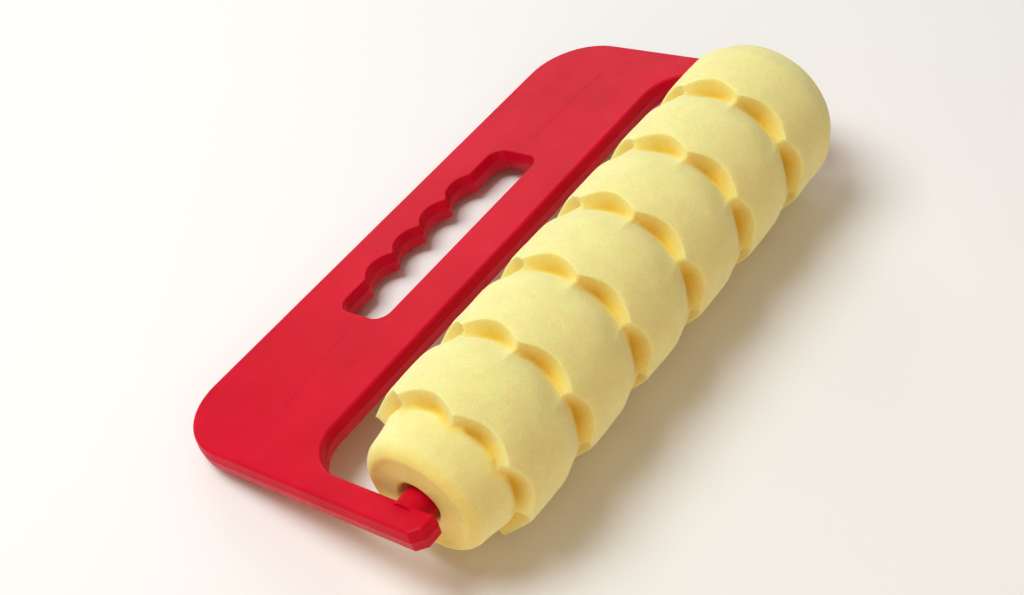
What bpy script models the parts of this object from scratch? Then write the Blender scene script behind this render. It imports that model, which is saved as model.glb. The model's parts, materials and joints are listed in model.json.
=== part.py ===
"""Textured pattern roller: a one-piece moulded hand frame with a patterned foam sleeve.

The frame is a flat plate with a finger slot and two arms. A round peg on the inner face of
each arm carries a core tube, and the foam sleeve is bonded to that tube, so sleeve and tube
turn together on the pegs. The roller rests on a flat surface: the foam touches it along its
length, and the plate leans down until the lower edge of its handle side touches it too.

Plate frame, used by every function below: X runs along the roller, Y from the roller's axis
to the handle edge, Z out of the plate's upper face. The empty "rest_pose" leans that frame
to its resting angle. World units are metres, +Z up, origin at the bottom centre of the whole.
"""
import math

import bmesh
import bpy
from mathutils.geometry import tessellate_polygon

# ---- Driving dimensions, metres -------------------------------------------------------
# Hand frame
FRAME_WIDTH = 0.2070          # outside of one arm to outside of the other
FRAME_THICKNESS = 0.0075
HANDLE_EDGE_Y = 0.0910        # handle edge of the plate, from the roller's axis
PLATE_INNER_Y = 0.0404        # foam-side edge of the plate
ARM_TIP_Y = -0.0103           # arm ends, just past the roller's axis
ARM_WIDTH = 0.0088
OUTER_CORNER_R = 0.0215
INNER_CORNER_R = 0.0145
TIP_CHAMFER = 0.0030
EDGE_BREAK = 0.0008           # small chamfer round both faces

# Hand slot with a row of finger grooves along its handle side
SLOT_HALF_LENGTH = 0.0408
SLOT_LOW_Y = 0.0568           # foam side of the slot
SLOT_HIGH_Y = 0.0752          # handle side, level with the ridges between the grooves
SLOT_CORNER_R = 0.0045
FINGER_COUNT = 4
FINGER_PITCH = 0.0137
FINGER_DEPTH = 0.0032
FINGER_RIDGE_R = 0.0012       # rounding of the ridge between two grooves

# Pegs on the arms, and the core tube that turns on them
PEG_R = 0.0049
PEG_LENGTH = 0.0150           # from the arm's inner face
PEG_ROOT = 0.0006             # how far the peg is let into the arm
PEG_CHAMFER = 0.0010
RUNNING_GAP = 0.00035         # peg to tube, on radius
TUBE_RECESS = 0.0065          # foam end face to tube end
BOND_GAP = 0.0003             # tube to foam, on radius

# Foam sleeve
FOAM_LENGTH = 0.1830
FOAM_R = 0.0260               # crest radius
BORE_R = 0.0070
BORE_LIP = 0.0006             # rounding where the bore meets the end face
NEAR_END_R = 0.0195           # radius to which the sleeve narrows at its -X end
NEAR_END_LENGTH = 0.0380      # length of that narrowing, cut short by the first ring's wall
FAR_END_R = 0.0226            # the same at its +X end, over its full length
FAR_END_LENGTH = 0.0110
END_EDGE_R = 0.0038           # rounding round each end face

# Pattern: rows of crescent-shaped grooves round the sleeve. Each groove ends in a steep wall
# under the crisp edge of the ring on its +X side, and slopes up to the ring on its -X side.
GROOVE_ROWS = 6
FIRST_EDGE_X = -0.0775        # first crisp edge, where two of its crescents meet
GROOVE_PITCH = 0.02815
CRESCENTS = 8                 # crescents round the sleeve in each row
CRESCENT_START = math.radians(9.6)   # a bridge between two crescents, from +Y
CRESCENT_BULGE = 0.0032       # how far a crescent bows along the axis
GROOVE_DEPTH = 0.0062
BRIDGE_DEPTH = 0.34           # depth left at a bridge, as a share of the full depth
BRIDGE_SHARPNESS = 0.9        # below 1, the bridges are narrower than the crescents
WALL_LENGTH = 0.0012          # from the crisp edge to the foot of its steep wall
FLOOR_LENGTH = 0.0010         # floor of the groove, which rises a little from that foot
FLOOR_RISE = 0.03             # by this share of the depth
SLOPE_LENGTH = 0.0120         # round shoulder from the floor up to the ring before it
SLOPE_POWER = 2.0             # how late along the shoulder most of its fall comes

COLUMNS = 48                  # foam mesh columns, a multiple of CRESCENTS

# ---- Worked out from the above --------------------------------------------------------
HALF_WIDTH = FRAME_WIDTH / 2
ARM_INNER_X = HALF_WIDTH - ARM_WIDTH
HALF_T = FRAME_THICKNESS / 2
HALF_FOAM = FOAM_LENGTH / 2
TUBE_R = BORE_R - BOND_GAP
TUBE_BORE_R = PEG_R + RUNNING_GAP
TUBE_HALF = HALF_FOAM - TUBE_RECESS


def resting_angle():
    """Lean of the plate about X, so that the foam and the handle edge touch one plane."""
    reach_y = HANDLE_EDGE_Y - EDGE_BREAK
    reach_z = -HALF_T
    drop = -FOAM_R / math.hypot(reach_y, reach_z)
    return math.asin(drop) - math.atan2(reach_z, reach_y)


LEAN = resting_angle()


def world_y(y, z):
    """World Y, from the roller's axis, of a point of the plate frame."""
    return y * math.cos(LEAN) - z * math.sin(LEAN)


# The roller's axis lies this far from the origin, which is at the middle of the whole.
AXIS_Y = -(world_y(HANDLE_EDGE_Y, HALF_T - EDGE_BREAK) - FOAM_R) / 2
AXIS_Z = FOAM_R


# ---- Helpers --------------------------------------------------------------------------
def arc(centre, radius, start, end, steps):
    """Points of a circular arc, angles in degrees, both ends included."""
    points = []
    for i in range(steps + 1):
        angle = math.radians(start + (end - start) * i / steps)
        points.append((centre[0] + radius * math.cos(angle), centre[1] + radius * math.sin(angle)))
    return points


def mirrored(points):
    """The same points on the other side of X = 0, in reverse order."""
    return [(-x, y) for x, y in reversed(points)]


def plastic(name, colour, roughness):
    """A plain Principled material."""
    material = bpy.data.materials.new(name)
    material.use_nodes = True
    shader = material.node_tree.nodes["Principled BSDF"]
    shader.inputs["Base Color"].default_value = (*colour, 1.0)
    shader.inputs["Roughness"].default_value = roughness
    shader.inputs["Metallic"].default_value = 0.0
    material.diffuse_color = (*colour, 1.0)
    return material


def finish_mesh(name, bm, material, parent):
    """Turn a bmesh into a named, smooth-shaded object under its parent."""
    bmesh.ops.recalc_face_normals(bm, faces=bm.faces)
    mesh = bpy.data.meshes.new(name)
    bm.to_mesh(mesh)
    bm.free()
    mesh.shade_smooth()
    mesh.set_sharp_from_angle(angle=math.radians(35))
    mesh.materials.append(material)
    obj = bpy.data.objects.new(name, mesh)
    bpy.context.scene.collection.objects.link(obj)
    obj.parent = parent
    return obj


def bridge(bm, loop_a, loop_b):
    """Quads between two closed loops of equal length."""
    count = len(loop_a)
    for i in range(count):
        j = (i + 1) % count
        bm.faces.new((loop_a[i], loop_a[j], loop_b[j], loop_b[i]))


def smoothstep(share):
    """Smooth rise from 0 to 1, level at both ends."""
    share = min(1.0, max(0.0, share))
    return share * share * (3 - 2 * share)


def turned_rings(bm, profile, steps):
    """Rings of vertices about X, one for each (x, radius) point of a profile."""
    rings = []
    for x, radius in profile:
        ring = []
        for i in range(steps):
            angle = 2 * math.pi * i / steps
            ring.append(bm.verts.new((x, radius * math.cos(angle), radius * math.sin(angle))))
        rings.append(ring)
    return rings


# ---- Hand frame -----------------------------------------------------------------------
def plate_outline(inset):
    """Outer outline of the frame, drawn in by inset all round, anticlockwise."""
    tip_y = ARM_TIP_Y + inset
    chamfer_x = HALF_WIDTH - TIP_CHAMFER - inset * (math.sqrt(2) - 1)
    chamfer_y = ARM_TIP_Y + TIP_CHAMFER + inset * (math.sqrt(2) - 1)
    outer = [(chamfer_x, tip_y), (HALF_WIDTH - inset, chamfer_y)]
    corner = (HALF_WIDTH - OUTER_CORNER_R, HANDLE_EDGE_Y - OUTER_CORNER_R)
    outer += arc(corner, OUTER_CORNER_R - inset, 0, 90, 10)
    corner = (ARM_INNER_X - INNER_CORNER_R, PLATE_INNER_Y - INNER_CORNER_R)
    inner = arc(corner, INNER_CORNER_R + inset, 90, 0, 8)
    inner.append((ARM_INNER_X + inset, tip_y))
    return outer + mirrored(outer) + mirrored(inner) + inner


def slot_outline(inset):
    """Outline of the hand slot, drawn into the plate by inset all round."""
    low = (SLOT_HALF_LENGTH - SLOT_CORNER_R, SLOT_LOW_Y + SLOT_CORNER_R)
    high = (low[0], SLOT_HIGH_Y - SLOT_CORNER_R)
    end = arc(low, SLOT_CORNER_R + inset, -90, 0, 5) + arc(high, SLOT_CORNER_R + inset, 0, 90, 5)
    half_pitch = FINGER_PITCH / 2
    reach = (half_pitch ** 2 + FINGER_DEPTH ** 2) / (2 * FINGER_DEPTH)
    flank = math.degrees(math.asin(half_pitch / reach))
    groove_y = SLOT_HIGH_Y + FINGER_DEPTH - (reach - FINGER_RIDGE_R)
    ridge_y = SLOT_HIGH_Y + FINGER_RIDGE_R
    row_x = FINGER_COUNT * half_pitch
    ridge_r = FINGER_RIDGE_R - inset
    fingers = arc((row_x, ridge_y), ridge_r, -90, -90 - flank, 3)
    for i in range(FINGER_COUNT):
        groove_x = row_x - (i + 0.5) * FINGER_PITCH
        groove_r = reach - FINGER_RIDGE_R + inset
        fingers += arc((groove_x, groove_y), groove_r, 90 - flank, 90 + flank, 8)[1:]
        ridge_x = row_x - (i + 1) * FINGER_PITCH
        last = -90 if i == FINGER_COUNT - 1 else -90 - flank
        fingers += arc((ridge_x, ridge_y), ridge_r, -90 + flank, last, 4)[1:]
    return end + fingers + mirrored(end)


def add_loop(bm, points, z):
    """A closed loop of vertices at height z."""
    return [bm.verts.new((x, y, z)) for x, y in points]


def fill_between(bm, outer, inner):
    """Flat face between an outline and a hole."""
    polygons = [[vert.co for vert in outer], [vert.co for vert in inner]]
    verts = outer + inner
    for triangle in tessellate_polygon(polygons):
        bm.faces.new([verts[i] for i in triangle])


def plate_solid():
    """The plate with its arms and slot, edges broken, as one closed bmesh."""
    bm = bmesh.new()
    levels = [(-HALF_T, EDGE_BREAK), (-HALF_T + EDGE_BREAK, 0.0),
              (HALF_T - EDGE_BREAK, 0.0), (HALF_T, EDGE_BREAK)]
    caps = []
    for outline in (plate_outline, slot_outline):
        loops = [add_loop(bm, outline(inset), z) for z, inset in levels]
        for lower, upper in zip(loops, loops[1:]):
            bridge(bm, lower, upper)
        caps.append((loops[0], loops[-1]))
    fill_between(bm, caps[0][0], caps[1][0])
    fill_between(bm, caps[0][1], caps[1][1])
    return bm


def peg_tool(side, parent, material):
    """Solid peg for one arm, joined to the frame by a Boolean and hidden on its own."""
    bm = bmesh.new()
    root = ARM_INNER_X + PEG_ROOT
    tip = ARM_INNER_X - PEG_LENGTH
    profile = [(root, PEG_R), (tip + PEG_CHAMFER, PEG_R), (tip, PEG_R - PEG_CHAMFER)]
    rings = turned_rings(bm, [(side * x, radius) for x, radius in profile], 24)
    for ring_a, ring_b in zip(rings, rings[1:]):
        bridge(bm, ring_a, ring_b)
    bm.faces.new(rings[0])
    bm.faces.new(rings[-1])
    tool = finish_mesh("peg_tool", bm, material, parent)
    tool.hide_render = True
    tool.display_type = "WIRE"
    return tool


def make_frame(parent):
    """One moulding: plate, arms, finger slot and both pegs."""
    red = plastic("red_plastic", (0.62, 0.012, 0.035), 0.35)
    frame = finish_mesh("frame", plate_solid(), red, parent)
    for side in (-1, 1):
        union = frame.modifiers.new("peg", "BOOLEAN")
        union.operation = "UNION"
        union.solver = "EXACT"
        union.object = peg_tool(side, parent, red)


# ---- Roller ---------------------------------------------------------------------------
def lobe(angle):
    """0 at a bridge between two crescents, 1 at the middle of a crescent."""
    return abs(math.sin(CRESCENTS / 2 * (angle - CRESCENT_START)))


def wall_share(before_edge):
    """Share of a wall's full height below its crisp edge, 1 beyond its foot."""
    across = min(1.0, max(0.0, 1 - before_edge / WALL_LENGTH))
    return math.sqrt(1 - across * across)


def groove_share(before_edge):
    """Share of a groove's full depth at a distance before the crisp edge, along the axis."""
    if before_edge < WALL_LENGTH:
        return wall_share(before_edge)
    along_floor = (before_edge - WALL_LENGTH) / FLOOR_LENGTH
    if along_floor < 1:
        return 1 - FLOOR_RISE * along_floor
    up_slope = (before_edge - WALL_LENGTH - FLOOR_LENGTH) / SLOPE_LENGTH
    return (1 - FLOOR_RISE) * max(0.0, 1 - up_slope) ** SLOPE_POWER


def end_radius(from_end, face_r, length):
    """Radius to which an end of the sleeve narrows, at a distance from the end face."""
    radius = face_r + (FOAM_R - face_r) * smoothstep(from_end / length)
    across = min(1.0, max(0.0, 1 - from_end / END_EDGE_R))
    return radius - END_EDGE_R * (1 - math.sqrt(1 - across * across))


def foam_radius(x, angle):
    """Radius of the sleeve's outside at a place along the axis and an angle round it."""
    share = lobe(angle)
    depth = GROOVE_DEPTH * (BRIDGE_DEPTH + (1 - BRIDGE_DEPTH) * share ** BRIDGE_SHARPNESS)
    radius = FOAM_R
    for row in range(GROOVE_ROWS):
        edge_x = FIRST_EDGE_X + row * GROOVE_PITCH + CRESCENT_BULGE * share
        radius -= depth * groove_share(edge_x - x)
    near = end_radius(HALF_FOAM + x, NEAR_END_R, NEAR_END_LENGTH)
    near = FOAM_R - (FOAM_R - near) * wall_share(FIRST_EDGE_X + CRESCENT_BULGE * share - x)
    far = end_radius(HALF_FOAM - x, FAR_END_R, FAR_END_LENGTH)
    return min(radius, near, far)


def foam_stations():
    """Mesh rows along the sleeve: (place at a bridge, how far the row follows the bulge)."""
    edge = [END_EDGE_R * share for share in (0.0, 0.08, 0.3, 0.65)]
    foot = WALL_LENGTH + FLOOR_LENGTH
    slope = [foot + SLOPE_LENGTH * share for share in (0.9, 0.6, 0.35, 0.15)]
    wall = [WALL_LENGTH * share for share in (1.6, 0.7, 0.2, 0.0)]
    rows = [(-HALF_FOAM + step, 0.0) for step in edge]
    for row in range(GROOVE_ROWS):
        edge_x = FIRST_EDGE_X + row * GROOVE_PITCH
        for step in slope + wall:
            if edge_x - step > -HALF_FOAM + END_EDGE_R:
                rows.append((edge_x - step, 1.0))
    rows += [(HALF_FOAM - FAR_END_LENGTH * share, 0.0) for share in (1.0, 0.65, 0.3)]
    rows += [(HALF_FOAM - step, 0.0) for step in reversed(edge)]
    return rows


def make_foam(parent):
    """Patterned foam sleeve with rounded ends and a through bore."""
    bm = bmesh.new()
    angles = [CRESCENT_START + 2 * math.pi * i / COLUMNS for i in range(COLUMNS)]

    def ring(place, radius_at):
        verts = []
        for angle in angles:
            x = place(angle)
            radius = radius_at(x, angle)
            verts.append(bm.verts.new((x, radius * math.cos(angle), radius * math.sin(angle))))
        return verts

    rings = []
    for station, follow in foam_stations():
        rings.append(ring(lambda a: station + follow * CRESCENT_BULGE * lobe(a), foam_radius))
    bore = [(HALF_FOAM, BORE_R + BORE_LIP), (HALF_FOAM - BORE_LIP, BORE_R),
            (-HALF_FOAM + BORE_LIP, BORE_R), (-HALF_FOAM, BORE_R + BORE_LIP)]
    for x, radius in bore:
        rings.append(ring(lambda a: x, lambda px, a: radius))
    for i, current in enumerate(rings):
        bridge(bm, current, rings[(i + 1) % len(rings)])
    foam = plastic("yellow_foam", (0.87, 0.78, 0.38), 0.95)
    return finish_mesh("foam_sleeve", bm, foam, parent)


def make_core_tube(parent):
    """Stiff tube inside the foam, which turns on both pegs."""
    bm = bmesh.new()
    profile = [(-TUBE_HALF, TUBE_R), (TUBE_HALF, TUBE_R),
               (TUBE_HALF, TUBE_BORE_R), (-TUBE_HALF, TUBE_BORE_R)]
    rings = turned_rings(bm, profile, 32)
    for i, current in enumerate(rings):
        bridge(bm, current, rings[(i + 1) % len(rings)])
    white = plastic("white_plastic", (0.80, 0.80, 0.77), 0.45)
    return finish_mesh("core_tube", bm, white, parent)


def empty(name, location, lean, parent=None):
    """An empty that carries a group of pieces."""
    obj = bpy.data.objects.new(name, None)
    bpy.context.scene.collection.objects.link(obj)
    obj.location = location
    obj.rotation_euler = (lean, 0.0, 0.0)
    obj.parent = parent
    return obj


def main():
    for obj in list(bpy.data.objects):
        bpy.data.objects.remove(obj, do_unlink=True)
    rest_pose = empty("rest_pose", (0.0, AXIS_Y, AXIS_Z), LEAN)
    roller_axis = empty("roller_axis", (0.0, 0.0, 0.0), 0.0, rest_pose)
    make_frame(rest_pose)
    make_foam(roller_axis)
    make_core_tube(roller_axis)


main()
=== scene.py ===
"""Looks of the textured pattern roller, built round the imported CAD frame.

Three pieces stand for the three CAD nodes: the red moulded hand frame, the patterned foam
sleeve and the white tube inside it. The plate frame, used by the hand frame's functions,
has its origin on the roller's axis, X along the roller, Y to the handle edge and Z out of
the plate's upper face. All lengths are metres.
"""

import json
import math

import bmesh
import bpy
import numpy as np
from mathutils import Matrix, Vector, noise
from mathutils.geometry import tessellate_polygon


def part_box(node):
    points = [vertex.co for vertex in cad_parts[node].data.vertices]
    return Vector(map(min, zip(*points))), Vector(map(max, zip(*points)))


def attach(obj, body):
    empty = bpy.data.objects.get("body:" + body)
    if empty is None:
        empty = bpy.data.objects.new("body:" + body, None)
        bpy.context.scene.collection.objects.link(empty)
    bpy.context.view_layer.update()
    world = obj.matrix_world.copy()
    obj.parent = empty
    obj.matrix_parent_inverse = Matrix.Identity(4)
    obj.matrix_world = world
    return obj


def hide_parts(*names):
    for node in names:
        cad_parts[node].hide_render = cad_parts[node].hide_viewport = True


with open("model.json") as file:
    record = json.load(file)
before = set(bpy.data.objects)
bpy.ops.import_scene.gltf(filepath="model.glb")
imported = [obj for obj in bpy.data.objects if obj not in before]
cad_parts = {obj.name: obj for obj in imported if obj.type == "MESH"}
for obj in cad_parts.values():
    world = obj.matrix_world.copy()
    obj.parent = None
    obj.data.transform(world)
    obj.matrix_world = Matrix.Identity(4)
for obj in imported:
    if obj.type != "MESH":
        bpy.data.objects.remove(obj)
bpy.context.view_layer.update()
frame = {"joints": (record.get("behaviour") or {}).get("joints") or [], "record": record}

# ---- Places and sizes taken from the frame --------------------------------------------
AXIS = Vector(frame["joints"][0]["pos_m"])
PLATE_TOP = next(m for m in frame["record"]["mounts"] if m["name"] == "plate_top")
PLATE_NORMAL = Vector(PLATE_TOP["axis"])
LEAN = -math.atan2(PLATE_NORMAL.y, PLATE_NORMAL.z)
FOAM_LOW, FOAM_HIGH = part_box("foam_sleeve")
TUBE_LOW, TUBE_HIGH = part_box("core_tube")
HALF_FOAM = (FOAM_HIGH.x - FOAM_LOW.x) / 2
FOAM_R = (FOAM_HIGH.z - FOAM_LOW.z) / 2
HALF_TUBE = (TUBE_HIGH.x - TUBE_LOW.x) / 2
TUBE_R = (TUBE_HIGH.z - TUBE_LOW.z) / 2
HALF_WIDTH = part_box("frame")[1].x

# ---- Hand frame, in the plate frame ---------------------------------------------------
HALF_T = 0.00375
HANDLE_EDGE_Y = 0.0910
PLATE_INNER_Y = 0.0404
ARM_TIP_Y = -0.0103
ARM_INNER_X = HALF_WIDTH - 0.0088
OUTER_CORNER_R = 0.0215
INNER_CORNER_R = 0.0145
TIP_CHAMFER = 0.0030
TIP_R = 0.0010                # rounding of the corners at an arm's end
CORNER_STEPS = 16
SMALLEST_R = 0.00005          # a corner never gets sharper than this

SLOT_HALF_LENGTH = 0.0408
SLOT_LOW_Y = 0.0568
SLOT_HIGH_Y = 0.0752
SLOT_CORNER_R = 0.0045
FINGER_COUNT = 4
FINGER_PITCH = 0.0137
FINGER_DEPTH = 0.0032
FINGER_RIDGE_R = 0.0012
SLOT_CORNER_STEPS = 10
FINGER_STEPS = 18
RIDGE_STEPS = 8
ROW_END_STEPS = 5             # for the half ridge where the row of finger grooves begins

OUTER_EDGE_R = 0.0009         # rounding of the outer edges of both faces
SLOT_EDGE_R = 0.0005          # the same round the slot
EDGE_STEPS = 5
FLAT_RING = 0.0002            # flat rim between an edge's rounding and the face
OUTER_DRAFT = 0.00025         # how far a wall leans in from the parting line to a face
SLOT_DRAFT = 0.00012
PARTING_PROUD = 0.00006       # the parting line stands this far out of the wall
PARTING_HALF = 0.00010        # half its width

PEG_R = 0.0049
PEG_LENGTH = 0.0150
PEG_ROOT = 0.0020
PEG_ROUND = 0.0010
PEG_ROUND_STEPS = 6
PEG_SIDES = 64
SHARP_ANGLE = math.radians(32.0)

# Faint lines where the plastic met past the slot's ends: (start X, end X, start Y, end Y)
WELD_LINES = ((0.0470, 0.0890, 0.0655, 0.0640), (-0.0470, -0.0930, 0.0645, 0.0590))
WELD_RISE = 0.00007
WELD_RAMP = 0.0005            # length over which the line rises
WELD_NARROWING = 0.4          # how fast it narrows up that ramp
WELD_TIP_HALF_WIDTH = 0.0003
WELD_HALF_WIDTH = 0.0006      # what the middle of the line has more than its tips
WELD_BOW = 0.0008
WELD_STEPS = 24

# Round marks left by the mould's ejectors under the plate, on both sides of X = 0
EJECTOR_PLACES = ((0.062, 0.066), (0.088, 0.056), (0.030, 0.0486),
                  (0.0991, 0.020), (0.0991, -0.004))
EJECTOR_R = 0.0024
EJECTOR_DEPTH = 0.00012
EJECTOR_RAMP = 0.0001
EJECTOR_SIDES = 48

# ---- Foam sleeve, about the roller's axis ---------------------------------------------
BORE_R = 0.0069
BORE_LIP = 0.0007             # rounding where the bore meets an end face
BORE_DEPTHS = (0.0, 0.0006, 0.002, 0.005)   # mesh rows inside each end of the bore
# painted shade inside the bore, on the groove attribute
BORE_PAINTED_SHADE = 0.5
BORE_ROUGHNESS = 0.6          # unevenness of the bore, against that of the outside
NEAR_END_R = 0.0195           # radius to which the sleeve narrows at its -X end
NEAR_END_LENGTH = 0.0380      # length of that narrowing, cut short by the first wall
FAR_END_R = 0.0226            # the same at its +X end, over its full length
FAR_END_LENGTH = 0.0110
END_EDGE_R = 0.0038           # rounding round each end face
FACE_INSET = 0.0001           # keeps an uneven end face inside the sleeve's length
FACE_RINGS = 8                # steps from the bore's lip to the edge of an end face
FACE_BUMPS = 2                # unevenness of an end face, against that of the outside
FACE_STRETCH = 60             # radians round an end face for each metre of its noise
FACE_NOISE = {1: 1.0, -1: 4.0}    # depth in the noise at which each end face is taken

# Pattern: rows of crescents. Each ends in a steep wall under the crisp edge of a ring.
GROOVE_ROWS = 6
FIRST_EDGE_X = -0.0775        # first crisp edge, where two of its crescents meet
GROOVE_PITCH = 0.02815
CRESCENTS = 8                 # crescents round the sleeve in each row
CRESCENT_START = math.radians(9.6)   # a bridge between two crescents, from +Y
CRESCENT_BULGE = 0.0032       # how far a crescent bows along the axis
GROOVE_DEPTH = 0.0062
BRIDGE_DEPTH = 0.34           # depth left at a bridge, as a share of the full depth
BRIDGE_SHARPNESS = 0.9        # below 1, the bridges are narrower than the crescents
WALL_LENGTH = 0.0012          # from the crisp edge to the foot of its wall
FLOOR_LENGTH = 0.0010         # floor of the groove
FLOOR_RISE = 0.03             # rise of the floor, as a share of the depth
SLOPE_LENGTH = 0.0120         # round shoulder from the floor up to the ring before it
SLOPE_POWER = 2.0             # how late along the shoulder most of its fall comes
RIM_LENGTH = 0.0016           # the crisp edge of a ring is softened over this length
RIM_DROP = 0.0005             # and by this much

PAINTED_SHADE_REACH = 0.0025           # how far from a wall's foot painted shade makes the foam darker and more golden
END_PAINTED_SHADE = 0.45               # painted shade on the cut ends: how dark and golden they are

# Mesh rows along the sleeve, over each part of an end and of a groove with its ring
END_ROWS = 8
SLOPE_ROWS = 12
FLOOR_ROWS = 6
WALL_ROWS = 9
RIM_ROWS = 5
CREST_ROWS = 13
FAR_ROWS = 10
FOAM_COLUMNS = 28 * CRESCENTS

FOAM_WAVE = 0.00022           # slow unevenness of the cut foam
WAVE_SCALE = 85.0             # waves per metre
FOAM_ROUGHNESS = 0.00007      # quick unevenness of the cut foam
ROUGHNESS_SCALE = 620.0
ROUGHNESS_SHIFT = Vector((7.0, 3.0, 1.0))    # takes it from another part of the noise
INWARD = 0.6                  # holds most of it inside the sleeve's own surface

# ---- Core tube -------------------------------------------------------------------------
RUNNING_GAP = 0.00035         # peg to tube, on radius
TUBE_CHAMFER = 0.0003
TUBE_SIDES = 96

# ---- Stage -----------------------------------------------------------------------------
FLOOR_HALF = 6.0
WORLD_COLOUR = (1.0, 0.87, 0.74, 1.0)
WORLD_STRENGTH = 0.31

# ---- Camera ----------------------------------------------------------------------------
CAMERA_PLACE = Vector((-0.257, -0.219, 0.373))
CAMERA_AIM = Vector((-0.011, -0.002, 0.0127))
CAMERA_UP = Vector((0.640, 0.389, 0.662))
CAMERA_LENS = 57.0
CAMERA_SENSOR = 36.0
CAMERA_NEAR = 0.01


# ---- Helpers ---------------------------------------------------------------------------
def smoothstep(share):
    """Smooth rise from 0 to 1, level at both ends."""
    share = min(1.0, max(0.0, share))
    return share * share * (3 - 2 * share)


def arc(centre, radius, start, end, steps):
    """Points of a circular arc, angles in degrees, both ends included."""
    points = []
    for i in range(steps + 1):
        angle = math.radians(start + (end - start) * i / steps)
        points.append((centre[0] + radius * math.cos(angle), centre[1] + radius * math.sin(angle)))
    return points


def mirrored(points):
    """The same points on the other side of X = 0, in reverse order."""
    return [(-x, y) for x, y in reversed(points)]


def rounded_outline(corners, inset, steps):
    """Anticlockwise outline with rounded corners (x, y, radius), drawn in by inset."""
    count = len(corners)
    places = [Vector(corner[:2]) for corner in corners]
    normals = []
    for i in range(count):
        run = (places[(i + 1) % count] - places[i]).normalized()
        normals.append(Vector((-run.y, run.x)))
    points = []
    for i in range(count):
        before, after = normals[i - 1], normals[i]
        shift = (before + after) * (inset / (1 + before.dot(after)))
        place = places[i] + shift
        turn = before.x * after.y - before.y * after.x
        side = 1.0 if turn > 0 else -1.0
        radius = max(SMALLEST_R, corners[i][2] - side * inset)
        centre = place + (before + after) * (side * radius / (1 + before.dot(after)))
        start = math.degrees(math.atan2(-side * before.y, -side * before.x))
        sweep = math.degrees(math.asin(max(-1.0, min(1.0, turn))))
        points += arc(centre, radius, start, start + sweep, steps)
    return points


def smooth(mesh, sharp):
    """Smooth shading; with sharp on, edges over the sharp angle stay sharp."""
    mesh.shade_smooth()
    if sharp:
        mesh.set_sharp_from_angle(angle=SHARP_ANGLE)


def new_object(name, bm, matrix, sharp=True):
    """A smooth-shaded object from a bmesh."""
    bmesh.ops.recalc_face_normals(bm, faces=bm.faces)
    mesh = bpy.data.meshes.new(name)
    bm.to_mesh(mesh)
    bm.free()
    smooth(mesh, sharp)
    obj = bpy.data.objects.new(name, mesh)
    bpy.context.scene.collection.objects.link(obj)
    obj.matrix_world = matrix
    return obj


def bridge(bm, loop_a, loop_b):
    """Quads between two closed loops of equal length."""
    count = len(loop_a)
    for i in range(count):
        j = (i + 1) % count
        bm.faces.new((loop_a[i], loop_a[j], loop_b[j], loop_b[i]))


def turned(bm, profile, sides, closed):
    """Surface turned about X from (x, radius) points; open profiles get flat caps."""
    rings = []
    for x, radius in profile:
        ring = []
        for i in range(sides):
            angle = 2 * math.pi * i / sides
            ring.append(bm.verts.new((x, radius * math.cos(angle), radius * math.sin(angle))))
        rings.append(ring)
    for ring_a, ring_b in zip(rings, rings[1:]):
        bridge(bm, ring_a, ring_b)
    if closed:
        bridge(bm, rings[-1], rings[0])
    else:
        bm.faces.new(rings[0])
        bm.faces.new(rings[-1])


# ---- Hand frame ------------------------------------------------------------------------
def plate_outline(inset):
    """Outer outline of the frame."""
    half = [(ARM_INNER_X, ARM_TIP_Y, TIP_R),
            (HALF_WIDTH - TIP_CHAMFER, ARM_TIP_Y, TIP_R),
            (HALF_WIDTH, ARM_TIP_Y + TIP_CHAMFER, TIP_R),
            (HALF_WIDTH, HANDLE_EDGE_Y, OUTER_CORNER_R)]
    corners = half + [(-x, y, radius) for x, y, radius in reversed(half)]
    corners += [(side * ARM_INNER_X, PLATE_INNER_Y, INNER_CORNER_R) for side in (-1, 1)]
    return rounded_outline(corners, inset, CORNER_STEPS)


def slot_outline(inset):
    """Outline of the hand slot, drawn into the plate by inset all round."""
    low = (SLOT_HALF_LENGTH - SLOT_CORNER_R, SLOT_LOW_Y + SLOT_CORNER_R)
    high = (low[0], SLOT_HIGH_Y - SLOT_CORNER_R)
    end = arc(low, SLOT_CORNER_R + inset, -90, 0, SLOT_CORNER_STEPS)
    end += arc(high, SLOT_CORNER_R + inset, 0, 90, SLOT_CORNER_STEPS)
    half_pitch = FINGER_PITCH / 2
    reach = (half_pitch ** 2 + FINGER_DEPTH ** 2) / (2 * FINGER_DEPTH)
    flank = math.degrees(math.asin(half_pitch / reach))
    groove_y = SLOT_HIGH_Y + FINGER_DEPTH - (reach - FINGER_RIDGE_R)
    ridge_y = SLOT_HIGH_Y + FINGER_RIDGE_R
    row_x = FINGER_COUNT * half_pitch
    ridge_r = FINGER_RIDGE_R - inset
    groove_r = reach - FINGER_RIDGE_R + inset
    fingers = arc((row_x, ridge_y), ridge_r, -90, -90 - flank, ROW_END_STEPS)
    for i in range(FINGER_COUNT):
        groove_x = row_x - (i + 0.5) * FINGER_PITCH
        groove = arc((groove_x, groove_y), groove_r, 90 - flank, 90 + flank, FINGER_STEPS)
        ridge_x = row_x - (i + 1) * FINGER_PITCH
        last = -90 if i == FINGER_COUNT - 1 else -90 - flank
        ridge = arc((ridge_x, ridge_y), ridge_r, -90 + flank, last, RIDGE_STEPS)
        fingers += groove[1:] + ridge[1:]
    return end + fingers + mirrored(end)


def wall_levels(edge_r, draft):
    """(z, inset) steps up a moulded wall: rounded edges, draft and the parting line."""
    half = [(PARTING_HALF, PARTING_PROUD)]
    lean = draft / HALF_T
    for i in range(EDGE_STEPS + 1):
        angle = math.pi / 2 * i / EDGE_STEPS
        z = HALF_T - edge_r * (1 - math.sin(angle))
        half.append((z, PARTING_PROUD + lean * z + edge_r * (1 - math.cos(angle))))
    half.append((HALF_T, half[-1][1] + FLAT_RING))
    return [(-z, inset) for z, inset in reversed(half)] + [(0.0, 0.0)] + half


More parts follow.
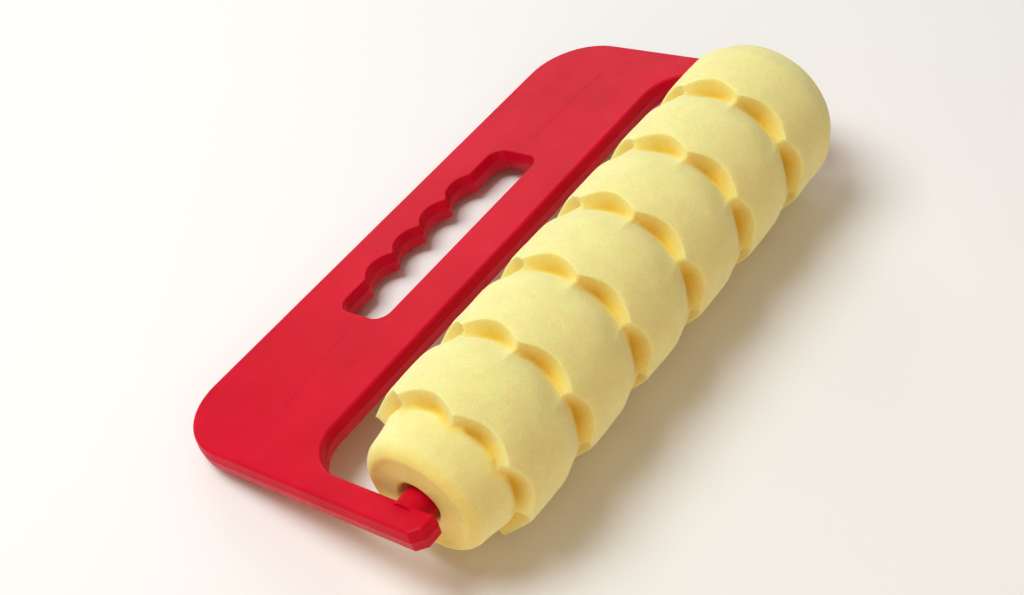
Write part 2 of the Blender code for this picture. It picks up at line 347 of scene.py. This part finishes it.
def add_loop(bm, points, z):
    """A closed loop of vertices at height z."""
    return [bm.verts.new((x, y, z)) for x, y in points]


def fill_face(bm, loops):
    """Flat face inside the first loop and outside the others."""
    verts = [vert for loop in loops for vert in loop]
    for triangle in tessellate_polygon([[vert.co for vert in loop] for loop in loops]):
        bm.faces.new([verts[i] for i in triangle])


def raised_patch(bm, points_at, z, height, ramp):
    """A patch standing out of, or let into, a face. Returns the loop where it meets the face."""
    rim = add_loop(bm, points_at(-FLAT_RING), z)
    foot = add_loop(bm, points_at(0.0), z)
    top = add_loop(bm, points_at(ramp), z + height)
    bridge(bm, rim, foot)
    bridge(bm, foot, top)
    fill_face(bm, [top])
    return rim


def weld_line(start_x, end_x, start_y, end_y):
    """Outline of a thin line that narrows towards both ends."""
    def points_at(ramp):
        forward, back = [], []
        for i in range(WELD_STEPS + 1):
            share = i / WELD_STEPS
            bow = math.sin(math.pi * share)
            x = start_x + (end_x - start_x) * share
            y = start_y + (end_y - start_y) * share + WELD_BOW * bow
            half = WELD_TIP_HALF_WIDTH - ramp * WELD_NARROWING + WELD_HALF_WIDTH * bow
            x += ramp * (1 - 2 * share) * math.copysign(1.0, end_x - start_x)
            forward.append((x, y - half))
            back.append((x, y + half))
        return forward + back[::-1]
    return points_at


def round_mark(x, y):
    """Outline of one ejector mark."""
    last = 360 - 360 / EJECTOR_SIDES
    return lambda ramp: arc((x, y), EJECTOR_R - ramp, 0, last, EJECTOR_SIDES - 1)


def plate_bmesh():
    """Plate, arms and slot as one closed mesh, with the mould's marks."""
    bm = bmesh.new()
    caps = []
    for outline, edge_r, draft in ((plate_outline, OUTER_EDGE_R, OUTER_DRAFT),
                                   (slot_outline, SLOT_EDGE_R, SLOT_DRAFT)):
        loops = [add_loop(bm, outline(inset), z) for z, inset in wall_levels(edge_r, draft)]
        for lower, upper in zip(loops, loops[1:]):
            bridge(bm, lower, upper)
        caps.append((loops[0], loops[-1]))
    welds = [raised_patch(bm, weld_line(*ends), HALF_T, WELD_RISE, WELD_RAMP)
             for ends in WELD_LINES]
    marks = []
    for x, y in EJECTOR_PLACES:
        for side in (-1, 1):
            mark = round_mark(side * x, y)
            marks.append(raised_patch(bm, mark, -HALF_T, EJECTOR_DEPTH, EJECTOR_RAMP))
    fill_face(bm, [caps[0][1], caps[1][1]] + welds)
    fill_face(bm, [caps[0][0], caps[1][0]] + marks)
    return bm


def peg_profile(side):
    """Round peg from inside one arm to its rounded tip, as (x, radius)."""
    tip = ARM_INNER_X - PEG_LENGTH
    points = [(ARM_INNER_X + PEG_ROOT, PEG_R)]
    points += [(tip + PEG_ROUND - y, PEG_R - PEG_ROUND + x)
               for x, y in arc((0.0, 0.0), PEG_ROUND, 0, 90, PEG_ROUND_STEPS)]
    return [(side * x, radius) for x, radius in points]


def join_solid(obj, tool):
    """Union the tool into the object, and delete the tool."""
    union = obj.modifiers.new("union", "BOOLEAN")
    union.operation = "UNION"
    union.solver = "EXACT"
    union.object = tool
    depsgraph = bpy.context.evaluated_depsgraph_get()
    joined = bpy.data.meshes.new_from_object(obj.evaluated_get(depsgraph))
    obj.modifiers.clear()
    obj.data = joined
    bpy.data.objects.remove(tool)


def make_hand_frame():
    """The red moulding with both pegs."""
    place = Matrix.Translation(AXIS) @ Matrix.Rotation(LEAN, 4, "X")
    obj = new_object("hand_frame", plate_bmesh(), Matrix.Identity(4))
    for side in (-1, 1):
        bm = bmesh.new()
        turned(bm, peg_profile(side), PEG_SIDES, False)
        join_solid(obj, new_object("peg", bm, Matrix.Identity(4)))
    obj.data.transform(place)
    smooth(obj.data, True)
    obj.data.materials.clear()
    obj.data.materials.append(red_plastic())
    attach(obj, "frame")
    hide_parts("frame")


# ---- Foam sleeve -----------------------------------------------------------------------
def lobe(angle):
    """0 at a bridge between two crescents, 1 at the middle of a crescent."""
    return abs(math.sin(CRESCENTS / 2 * (angle - CRESCENT_START)))


def wall_share(before_edge):
    """Share of a wall's full height below its crisp edge, 1 beyond its foot."""
    across = min(1.0, max(0.0, 1 - before_edge / WALL_LENGTH))
    return math.sqrt(1 - across * across)


def groove_share(before_edge):
    """Share of a groove's full depth at a distance before the crisp edge, along the axis."""
    if before_edge < WALL_LENGTH:
        return wall_share(before_edge)
    along_floor = (before_edge - WALL_LENGTH) / FLOOR_LENGTH
    if along_floor < 1:
        return 1 - FLOOR_RISE * along_floor
    up_slope = (before_edge - WALL_LENGTH - FLOOR_LENGTH) / SLOPE_LENGTH
    return (1 - FLOOR_RISE) * max(0.0, 1 - up_slope) ** SLOPE_POWER


def end_radius(from_end, face_r, length):
    """Radius to which an end of the sleeve narrows, at a distance from the end face."""
    radius = face_r + (FOAM_R - face_r) * smoothstep(from_end / length)
    across = min(1.0, max(0.0, 1 - from_end / END_EDGE_R))
    return radius - END_EDGE_R * (1 - math.sqrt(1 - across * across))


def foam_surface(x, angle):
    """(radius, painted shade) of the sleeve's outside; the painted shade is darker, more golden
    foam at the foot of each wall and at the cut ends.
    """
    share = lobe(angle)
    depth = BRIDGE_DEPTH + (1 - BRIDGE_DEPTH) * share ** BRIDGE_SHARPNESS
    cut = 0.0
    rim = 0.0
    painted_shade = 0.0
    for row in range(GROOVE_ROWS):
        before_edge = FIRST_EDGE_X + row * GROOVE_PITCH + CRESCENT_BULGE * share - x
        cut += depth * groove_share(before_edge)
        # painted shade: darker, more golden foam at the foot of each wall
        if before_edge > 0:
            beyond_wall = (before_edge - WALL_LENGTH) / PAINTED_SHADE_REACH
            painted_shade += depth * min(groove_share(before_edge), 1 - smoothstep(beyond_wall))
        past_edge = 1 + before_edge / RIM_LENGTH
        if 0 < past_edge <= 1:
            rim = depth * RIM_DROP * (1 - math.sqrt(1 - past_edge * past_edge))
    near = end_radius(HALF_FOAM + x, NEAR_END_R, NEAR_END_LENGTH)
    near = FOAM_R - (FOAM_R - near) * wall_share(FIRST_EDGE_X + CRESCENT_BULGE * share - x)
    far = end_radius(HALF_FOAM - x, FAR_END_R, FAR_END_LENGTH)
    # painted shade on the cut ends
    painted_shade += END_PAINTED_SHADE * (1 - smoothstep((HALF_FOAM - abs(x)) / END_EDGE_R))
    return min(FOAM_R - GROOVE_DEPTH * cut - rim, near, far), painted_shade


def foam_rows():
    """Mesh rows along the sleeve: (place at a bridge, how far the row follows the bulge)."""
    edge = [END_EDGE_R * (1 - math.cos(math.pi / 2 * i / END_ROWS)) for i in range(END_ROWS + 1)]
    foot = WALL_LENGTH + FLOOR_LENGTH
    crest = GROOVE_PITCH - foot - SLOPE_LENGTH - RIM_LENGTH
    steps = [foot + SLOPE_LENGTH * (1 - i / SLOPE_ROWS) for i in range(SLOPE_ROWS)]
    steps += [WALL_LENGTH + FLOOR_LENGTH * (1 - i / FLOOR_ROWS) for i in range(FLOOR_ROWS)]
    steps += [WALL_LENGTH * (1 - math.sin(math.pi / 2 * i / WALL_ROWS)) for i in range(WALL_ROWS)]
    steps += [0.0]
    steps += [-RIM_LENGTH * (1 - math.cos(math.pi / 2 * i / RIM_ROWS))
              for i in range(1, RIM_ROWS + 1)]
    steps += [-RIM_LENGTH - crest * i / CREST_ROWS for i in range(1, CREST_ROWS)]
    rows = [(-HALF_FOAM + step, 0.0) for step in edge]
    for row in range(GROOVE_ROWS):
        edge_x = FIRST_EDGE_X + row * GROOVE_PITCH
        for step in steps:
            if -HALF_FOAM + END_EDGE_R < edge_x - step < HALF_FOAM - FAR_END_LENGTH:
                rows.append((edge_x - step, 1.0))
    last = rows[-1][0] + CRESCENT_BULGE
    body_end = HALF_FOAM - END_EDGE_R
    rows += [(last + (body_end - last) * i / FAR_ROWS, 0.0) for i in range(1, FAR_ROWS)]
    rows += [(HALF_FOAM - step, 0.0) for step in reversed(edge)]
    return rows


def uneven(place):
    """Displacement of the cut foam's skin at a place."""
    slow = noise.noise(place * WAVE_SCALE)
    quick = noise.noise(place * ROUGHNESS_SCALE + ROUGHNESS_SHIFT)
    return FOAM_WAVE * (slow - INWARD) + FOAM_ROUGHNESS * (quick - INWARD)


def outside_ring(station, follow):
    """Ring of the outside, from an angle to (x, radius, painted shade, roughness)."""
    def point(angle):
        x = station + follow * CRESCENT_BULGE * lobe(angle)
        return (x, *foam_surface(x, angle), 1.0)
    return point


def face_ring(side, share):
    """Ring of an end face, at a share of the way from the bore's lip to the face's edge."""
    lip_r = BORE_R + BORE_LIP
    edge_r = (FAR_END_R if side > 0 else NEAR_END_R) - END_EDGE_R
    radius = lip_r + (edge_r - lip_r) * share

    def point(angle):
        bumps = FACE_BUMPS * uneven(Vector((radius, angle / FACE_STRETCH, FACE_NOISE[side])))
        # an end face carries painted shade
        return side * (HALF_FOAM + bumps - FACE_INSET), radius, END_PAINTED_SHADE, 1.0
    return point


def bore_ring(side, depth):
    """Ring of the bore, at a depth from an end face."""
    radius = BORE_R if depth else BORE_R + BORE_LIP
    # the bore carries painted shade
    return lambda angle: (side * (HALF_FOAM - depth), radius, BORE_PAINTED_SHADE, BORE_ROUGHNESS)


def foam_rings():
    """Every ring of the sleeve in order: outside, far face, bore and near face."""
    shares = [i / FACE_RINGS for i in range(1, FACE_RINGS)]
    rings = [outside_ring(*row) for row in foam_rows()]
    rings += [face_ring(1, share) for share in reversed(shares)]
    rings += [bore_ring(1, depth) for depth in BORE_DEPTHS]
    rings += [bore_ring(-1, depth) for depth in reversed(BORE_DEPTHS)]
    rings += [face_ring(-1, share) for share in shares]
    return rings


def make_foam():
    """Patterned foam sleeve with rounded ends and a through bore."""
    angles = [CRESCENT_START + 2 * math.pi * i / FOAM_COLUMNS for i in range(FOAM_COLUMNS)]
    bm = bmesh.new()
    painted_shades = []
    loops = []
    for ring in foam_rings():
        loop = []
        for angle in angles:
            x, radius, painted_shade, roughness = ring(angle)
            place = Vector((x, radius * math.cos(angle), radius * math.sin(angle)))
            out = Vector((0.0, math.cos(angle), math.sin(angle)))
            shift = uneven(place) * roughness
            loop.append(bm.verts.new(place + out * shift))
            painted_shades.append(painted_shade)
        loops.append(loop)
    for loop_a, loop_b in zip(loops, loops[1:] + loops[:1]):
        bridge(bm, loop_a, loop_b)
    obj = new_object("pattern_foam", bm, Matrix.Translation(AXIS), sharp=False)
    # the groove attribute holds painted shade at the walls' feet, on the cut ends and in the bore
    attribute = obj.data.attributes.new("groove", "FLOAT", "POINT")
    attribute.data.foreach_set("value", np.array(painted_shades, np.float32))
    obj.data.materials.append(yellow_foam())
    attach(obj, "roller")
    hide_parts("foam_sleeve")


# ---- Core tube -------------------------------------------------------------------------
def make_tube():
    """White tube with chamfered ends that turns on both pegs."""
    bore_r = PEG_R + RUNNING_GAP
    edge = TUBE_CHAMFER
    profile = [(-HALF_TUBE + edge, TUBE_R), (HALF_TUBE - edge, TUBE_R),
               (HALF_TUBE, TUBE_R - edge), (HALF_TUBE, bore_r + edge),
               (HALF_TUBE - edge, bore_r), (-HALF_TUBE + edge, bore_r),
               (-HALF_TUBE, bore_r + edge), (-HALF_TUBE, TUBE_R - edge)]
    bm = bmesh.new()
    turned(bm, profile, TUBE_SIDES, True)
    obj = new_object("inner_tube", bm, Matrix.Translation(AXIS))
    obj.data.materials.append(white_plastic())
    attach(obj, "roller")
    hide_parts("core_tube")


# ---- Materials -------------------------------------------------------------------------
class Shader:
    """A Principled material with short calls for its nodes."""

    def __init__(self, name):
        self.material = bpy.data.materials.new(name)
        self.material.use_nodes = True
        self.nodes = self.material.node_tree.nodes
        self.links = self.material.node_tree.links
        self.principled = self.nodes["Principled BSDF"]
        self.place = self.nodes.new("ShaderNodeTexCoord").outputs["Object"]

    def node(self, kind, **values):
        made = self.nodes.new(kind)
        for key, value in values.items():
            setattr(made, key, value)
        return made

    def link(self, output, target):
        self.links.new(output, target)

    def noise(self, scale, detail=2.0, roughness=0.5, stretch=None):
        """Noise texture of the given scale, per metre."""
        made = self.node("ShaderNodeTexNoise")
        made.inputs["Scale"].default_value = scale
        made.inputs["Detail"].default_value = detail
        made.inputs["Roughness"].default_value = roughness
        place = self.place
        if stretch:
            mapping = self.node("ShaderNodeMapping")
            mapping.inputs["Scale"].default_value = stretch
            self.link(place, mapping.inputs["Vector"])
            place = mapping.outputs["Vector"]
        self.link(place, made.inputs["Vector"])
        return made.outputs["Fac"]

    def ramp(self, value, stops):
        """Colour ramp with (position, colour) stops."""
        made = self.node("ShaderNodeValToRGB")
        elements = made.color_ramp.elements
        while len(elements) < len(stops):
            elements.new(0.5)
        for element, (position, colour) in zip(elements, stops):
            element.position = position
            element.color = (*colour, 1.0)
        self.link(value, made.inputs["Fac"])
        return made.outputs["Color"]

    def spread(self, value, low, high):
        """A 0 to 1 value brought to a range."""
        made = self.node("ShaderNodeMapRange")
        made.inputs["From Min"].default_value = 0.25
        made.inputs["From Max"].default_value = 0.75
        made.inputs["To Min"].default_value = low
        made.inputs["To Max"].default_value = high
        self.link(value, made.inputs["Value"])
        return made.outputs["Result"]

    def mix(self, kind, factor, colour_a, colour_b):
        """Two colours mixed; the factor is a number or an output."""
        made = self.node("ShaderNodeMix", data_type="RGBA", blend_type=kind)
        for index, value in ((0, factor), (6, colour_a), (7, colour_b)):
            socket = made.inputs[index]
            if isinstance(value, bpy.types.NodeSocket):
                self.link(value, socket)
            else:
                socket.default_value = value if socket.type == "VALUE" else (*value, 1.0)
        return made.outputs[2]

    def bump(self, height, distance, strength=1.0, under=None):
        """Bump of a height, over another bump."""
        made = self.node("ShaderNodeBump")
        made.inputs["Strength"].default_value = strength
        made.inputs["Distance"].default_value = distance
        self.link(height, made.inputs["Height"])
        if under:
            self.link(under, made.inputs["Normal"])
        return made.outputs["Normal"]


def red_plastic():
    """Crimson moulded plastic with slow sink marks, a fine skin and light handling wear."""
    s = Shader("red_plastic")
    cloud = s.noise(38.0, 3.0, 0.55, (1.0, 1.6, 1.0))
    colour = s.ramp(cloud, [(0.30, (0.58, 0.0015, 0.0180)), (0.70, (0.68, 0.0030, 0.0260))])
    s.link(colour, s.principled.inputs["Base Color"])
    wear = s.noise(240.0, 4.0, 0.6)
    s.link(s.spread(wear, 0.30, 0.44), s.principled.inputs["Roughness"])
    s.principled.inputs["IOR"].default_value = 1.49
    s.principled.inputs["Specular IOR Level"].default_value = 0.10
    slow = s.bump(s.noise(55.0, 1.0), 0.0006, 0.35)
    skin = s.bump(s.noise(1900.0, 2.0), 0.00006, 0.30, slow)
    s.link(skin, s.principled.inputs["Normal"])
    return s.material


def yellow_foam():
    """Pale yellow open-cell foam, with painted shade: darker and more golden deep in the grooves,
    on the cut ends and in the bore, and darker in its pores.
    """
    s = Shader("yellow_foam")
    groove = s.node("ShaderNodeAttribute", attribute_name="groove").outputs["Fac"]
    # ramp of painted shade: darker, more golden foam where the groove attribute is high
    base = s.ramp(groove, [(0.0, (0.93, 0.87, 0.37)), (0.5, (0.92, 0.76, 0.21)),
                           (1.0, (0.86, 0.58, 0.05))])
    mottle = s.ramp(s.noise(160.0, 3.0, 0.6), [(0.3, (0.94, 0.93, 0.90)), (0.7, (1.0, 1.0, 1.0))])
    toned = s.mix("MULTIPLY", 1.0, base, mottle)
    cells = s.node("ShaderNodeTexVoronoi", feature="F1")
    cells.inputs["Scale"].default_value = 1700.0
    s.link(s.place, cells.inputs["Vector"])
    # painted shade in the foam's pores: darker at each cell's centre
    painted_pore_shade = s.ramp(cells.outputs["Distance"], [(0.0, (0.86, 0.80, 0.66)), (0.35, (1.0, 1.0, 1.0))])
    s.link(s.mix("MULTIPLY", 0.8, toned, painted_pore_shade), s.principled.inputs["Base Color"])
    s.principled.inputs["Roughness"].default_value = 0.95
    s.principled.inputs["Specular IOR Level"].default_value = 0.15
    s.principled.inputs["Subsurface Weight"].default_value = 0.6
    s.principled.inputs["Subsurface Radius"].default_value = (1.0, 0.40, 0.08)
    s.principled.inputs["Subsurface Scale"].default_value = 0.006
    s.principled.inputs["Sheen Weight"].default_value = 0.12
    s.principled.inputs["Sheen Roughness"].default_value = 0.6
    cell_bump = s.bump(cells.outputs["Distance"], 0.00022, 0.6)
    lumps = s.bump(s.noise(520.0, 3.0, 0.6), 0.0004, 0.35, cell_bump)
    s.link(lumps, s.principled.inputs["Normal"])
    return s.material


def white_plastic():
    """Natural white extruded plastic with faint draw lines along it."""
    s = Shader("white_plastic")
    lines = s.noise(900.0, 2.0, 0.5, (0.02, 1.0, 1.0))
    colour = s.ramp(lines, [(0.3, (0.78, 0.77, 0.72)), (0.7, (0.84, 0.83, 0.79))])
    s.link(colour, s.principled.inputs["Base Color"])
    s.principled.inputs["Roughness"].default_value = 0.45
    s.principled.inputs["Subsurface Weight"].default_value = 0.1
    s.principled.inputs["Subsurface Scale"].default_value = 0.001
    s.link(s.bump(lines, 0.00004, 0.4), s.principled.inputs["Normal"])
    return s.material


def floor_material():
    """Plain pale studio floor."""
    s = Shader("floor")
    tone = s.ramp(s.noise(3.0, 1.0), [(0.3, (0.94, 0.94, 0.94)), (0.7, (0.95, 0.95, 0.95))])
    s.link(tone, s.principled.inputs["Base Color"])
    s.principled.inputs["Roughness"].default_value = 0.9
    s.principled.inputs["Specular IOR Level"].default_value = 0.1
    return s.material


# ---- Stage -----------------------------------------------------------------------------
def make_floor():
    """A wide level floor under the roller."""
    half = FLOOR_HALF
    mesh = bpy.data.meshes.new("floor")
    corners = [(-half, -half, 0.0), (half, -half, 0.0), (half, half, 0.0), (-half, half, 0.0)]
    mesh.from_pydata(corners, [], [(0, 1, 2, 3)])
    floor = bpy.data.objects.new("floor", mesh)
    bpy.context.scene.collection.objects.link(floor)
    floor.data.materials.append(floor_material())


def area_light(name, place, size, power, colour):
    """A soft square light aimed at the roller."""
    light = bpy.data.lights.new(name, "AREA")
    light.shape = "SQUARE"
    light.size = size
    light.energy = power
    light.color = colour
    obj = bpy.data.objects.new(name, light)
    bpy.context.scene.collection.objects.link(obj)
    obj.location = place
    obj.rotation_mode = "QUATERNION"
    obj.rotation_quaternion = (AXIS - Vector(place)).to_track_quat("-Z", "Y")


def make_lights():
    """Key from above and behind, a weaker side light, and a warm low fill in front."""
    area_light("key", (-0.25, 0.42, 1.03), 0.60, 9.7, (0.95, 1.0, 1.0))
    area_light("side", (0.75, 0.95, 0.62), 0.70, 2.8, (1.0, 1.0, 1.0))
    area_light("fill", (-0.55, -0.70, 0.22), 0.60, 1.6, (1.0, 0.48, 0.18))
    world = bpy.data.worlds.new("studio")
    world.use_nodes = True
    background = world.node_tree.nodes["Background"]
    background.inputs["Color"].default_value = WORLD_COLOUR
    background.inputs["Strength"].default_value = WORLD_STRENGTH
    bpy.context.scene.world = world
    bpy.context.scene.view_settings.view_transform = "Standard"


def make_camera():
    """Camera at the viewing angle of the picture."""
    data = bpy.data.cameras.new("camera")
    data.lens = CAMERA_LENS
    data.sensor_width = CAMERA_SENSOR
    data.clip_start = CAMERA_NEAR
    camera = bpy.data.objects.new("camera", data)
    bpy.context.scene.collection.objects.link(camera)
    ahead = (CAMERA_AIM - CAMERA_PLACE).normalized()
    right = ahead.cross(CAMERA_UP).normalized()
    turn = Matrix((right, right.cross(ahead), -ahead)).transposed()
    camera.matrix_world = Matrix.Translation(CAMERA_PLACE) @ turn.to_4x4()
    bpy.context.scene.camera = camera


make_camera()
make_hand_frame()
make_foam()
make_tube()
make_floor()
make_lights()
